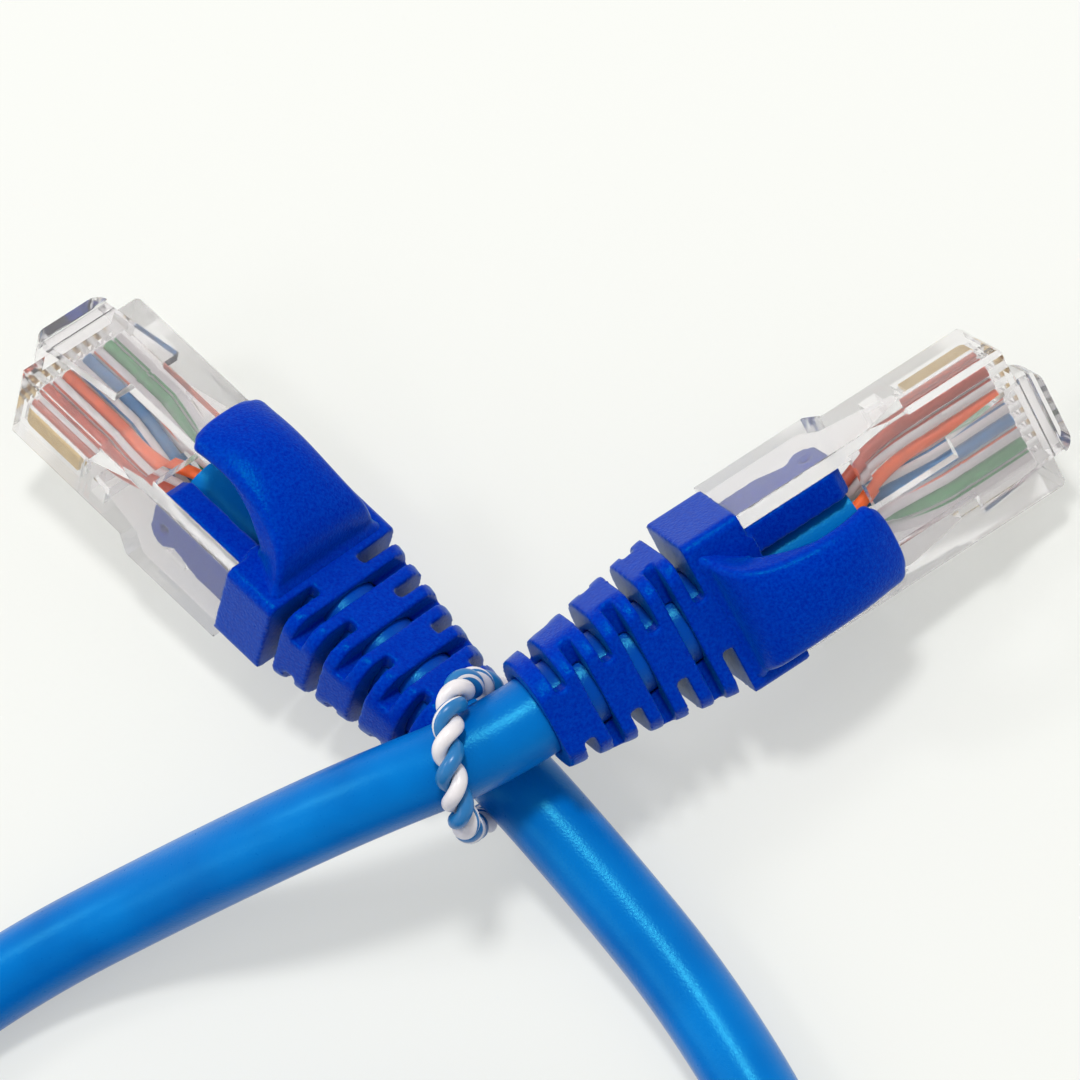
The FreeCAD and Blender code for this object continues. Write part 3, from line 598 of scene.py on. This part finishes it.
def hood_skin(tag):
    """The tongue as one closed mesh."""
    lower, shift, wider = HOOD_HANG[tag]
    place = plug_matrix(tag)
    rows = smooth_rows(HOOD_ROWS, HOOD_RINGS)
    tip = rows[-1][0]
    rings = []
    for index, (x, z, half, crown, thick, low) in enumerate(rows):
        before, after = rows[max(index - 1, 0)], rows[min(index + 1, HOOD_RINGS)]
        along = Vector((after[0] - before[0], after[1] - before[1])).normalized()
        foot = 0.0
        if x < FOOT_END:
            foot = FOOT_SPREAD * max(1 - max(z - COLLAR_TOP, 0) / FOOT_HEIGHT, 0) ** 2
        near_tip = max((x - tip + HOOD_TIP) / HOOD_TIP, 0)
        spread = wider - HOOD_TIP * (1 - math.sqrt(max(1 - near_tip ** 2, 0)))
        # The last row is repeated, smaller and farther out, for the rim
        for turn in QUARTER if index == HOOD_RINGS else QUARTER[:1]:
            inset, ahead = HOOD_RIM * (1 - math.cos(turn)), HOOD_RIM * math.sin(turn)
            section = hood_section(half + spread + foot - inset,
                                   low + spread + foot * FOOT_SHARE_BELOW - inset,
                                   thick + foot - 2 * inset, crown)
            ring = []
            for side, depth in section:
                depth -= inset
                ring.append(place @ hang(x - foot - along.y * depth + along.x * ahead, side,
                                         z + along.x * depth + along.y * ahead, lower, shift))
            rings.append(ring)
    around = len(rings[0])
    vertices = [point for ring in rings for point in ring]
    faces = [tuple(range(around))]
    for ring in range(len(rings) - 1):
        for first, second in ring_edges(ring, around):
            faces.append((second, first, first + around, second + around))
    faces.append(tuple(range(len(vertices) - 1, len(vertices) - around - 1, -1)))
    made = mesh_object(f"hood_skin_{tag}", vertices, faces)
    for polygon in made.data.polygons:
        polygon.use_smooth = len(polygon.vertices) == 4
    return made


# Boots

# Points of the solids' surfaces this near each other are one point, and points this near a
# cutting plane are on it, in metres
SAME_PLACE = 1e-6
ON_PLANE = 1e-7
# How far above the collar, in mm, the hinge block is cut off
BLOCK_CUT = 0.02
# Grain of the mesh that rounds a boot's edges, in metres, and how often and how much each
# point moves towards its neighbours
BOOT_GRAIN = 0.00016
BOOT_ROUNDS = 6
BOOT_SHARE = 0.5


def boot_skin(tag):
    """The boot without its hinge block, whose place the tongue's root takes."""
    mesh = NODES[f"boot_{tag}"].data.copy()
    place = plug_matrix(tag)
    level = place @ Vector((0, 0, COLLAR_TOP + BLOCK_CUT))
    upward = (place.to_3x3() @ Vector((0, 0, 1))).normalized()
    work = bmesh.new()
    work.from_mesh(mesh)
    bmesh.ops.remove_doubles(work, verts=work.verts, dist=SAME_PLACE)
    bmesh.ops.bisect_plane(work, geom=work.verts[:] + work.edges[:] + work.faces[:],
                           dist=ON_PLANE, plane_co=level, plane_no=upward, clear_outer=True)
    rim = [edge for edge in work.edges if edge.is_boundary]
    bmesh.ops.triangle_fill(work, use_beauty=True, edges=rim, normal=upward)
    work.to_mesh(mesh)
    work.free()
    mesh.materials.clear()
    return link(bpy.data.objects.new(f"boot_skin_{tag}", mesh))


def soften(item):
    """Round a moulded piece's edges a little, as its mould does."""
    weld = item.modifiers.new("weld", "WELD")
    weld.merge_threshold = SAME_PLACE
    remesh = item.modifiers.new("remesh", "REMESH")
    remesh.mode = "VOXEL"
    remesh.voxel_size = BOOT_GRAIN
    remesh.use_smooth_shade = True
    smooth = item.modifiers.new("smooth", "SMOOTH")
    smooth.iterations = BOOT_ROUNDS
    smooth.factor = BOOT_SHARE


# Pieces of both plugs

boot_blue = boot_material()
clear = clear_material()
gold = gold_material()
for tag in ("a", "b"):
    for part in ("plug_housing", "latch"):
        give(NODES[f"{part}_{tag}"], clear)
    give(NODES[f"contacts_{tag}"], gold)
    give(NODES[f"jacket_end_{tag}"], jacket_material(f"jacket_inner_{tag}", tag))
    boot = give(boot_skin(tag), boot_blue)
    soften(boot)
    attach(boot, "cable")
    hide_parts(f"boot_{tag}")
    # The tongue is baked into the scene's frame, and the solid hood it replaces is hidden
    tongue = give(hood_skin(tag), boot_blue)
    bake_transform(tongue)
    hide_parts(f"hood_{tag}")
    for name in NODES:
        if name.startswith("conductor_") and name.endswith("_" + tag):
            wire = name.removeprefix("conductor_").removesuffix("_" + tag)
            give(NODES[name], wire_material(wire, tag))


# Floor, background and light

# Half the floor's side, in metres
FLOOR_HALF = 3
floor = mesh_object("floor", [
    (-FLOOR_HALF, -FLOOR_HALF, 0), (FLOOR_HALF, -FLOOR_HALF, 0),
    (FLOOR_HALF, FLOOR_HALF, 0), (-FLOOR_HALF, FLOOR_HALF, 0),
], [(0, 1, 2, 3)])
give(floor, floor_material(colour=(0.83, 0.838, 0.80), glow=(0.872, 0.879, 0.84), share=0.5))

world = bpy.data.worlds.new("world")
bpy.context.scene.world = world
world.use_nodes = True
sky = world.node_tree.nodes["Background"].inputs
sky["Color"].default_value = opaque((1.0, 1.0, 0.99))
sky["Strength"].default_value = 0.59


def lamp(name, direction, distance, width, power):
    """A square soft lamp in a direction from the origin, which lies between the plugs, and
    turned to it."""
    data = bpy.data.lights.new(name, "AREA")
    data.shape = "SQUARE"
    data.size = width
    data.energy = power
    made = link(bpy.data.objects.new(name, data))
    outward = Vector(direction).normalized()
    made.location = outward * distance
    made.rotation_mode = "QUATERNION"
    made.rotation_quaternion = outward.to_track_quat("Z", "Y")


lamp("key", (0.10, 0.25, 0.96), distance=0.7, width=0.10, power=2.7)
lamp("fill", (-0.75, -0.35, 0.55), distance=0.8, width=0.3, power=0.5)
lamp("gleam", (-0.65, 0.2, 0.73), distance=0.8, width=0.14, power=1.0)
bpy.context.scene.view_settings.view_transform = "Standard"
